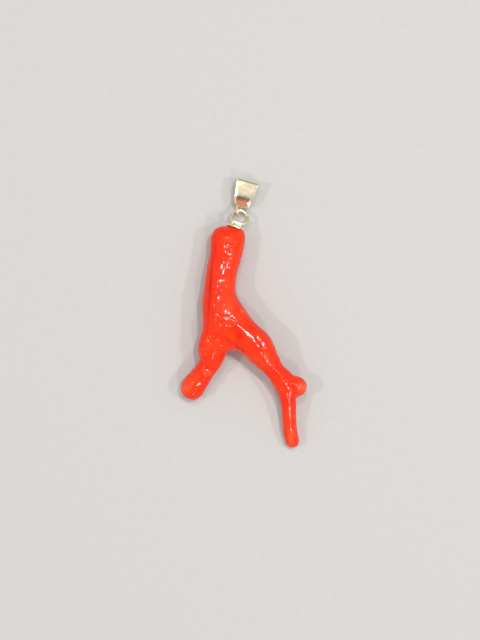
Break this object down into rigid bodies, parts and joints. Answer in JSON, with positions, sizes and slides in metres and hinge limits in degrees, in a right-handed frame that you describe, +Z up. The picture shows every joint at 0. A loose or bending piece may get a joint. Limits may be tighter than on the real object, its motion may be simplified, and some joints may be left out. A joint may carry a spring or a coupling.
{
  "type": "coral branch pendant",
  "caption": "Polished red coral branch with a forked foot and a slim finger, capped in gold, with a soldered ring, a connecting loop and a tapered folded bail.",
  "frame": {"origin": "on the surface that the pendant lies on, under the middle of its outline seen from above", "axes": "+Y along the pendant towards its bail, +X to its right seen from above, +Z up from the surface"},
  "size_m": [0.0251, 0.0545, 0.0081],
  "materials": {
    "coral": "polished",
    "gold": "polished yellow gold"
  },
  "bodies": {
    "root": {"coral_branch": "coral", "end_cap": "gold", "connecting_loop": "gold", "bail": "gold"}
  },
  "joints": []
}
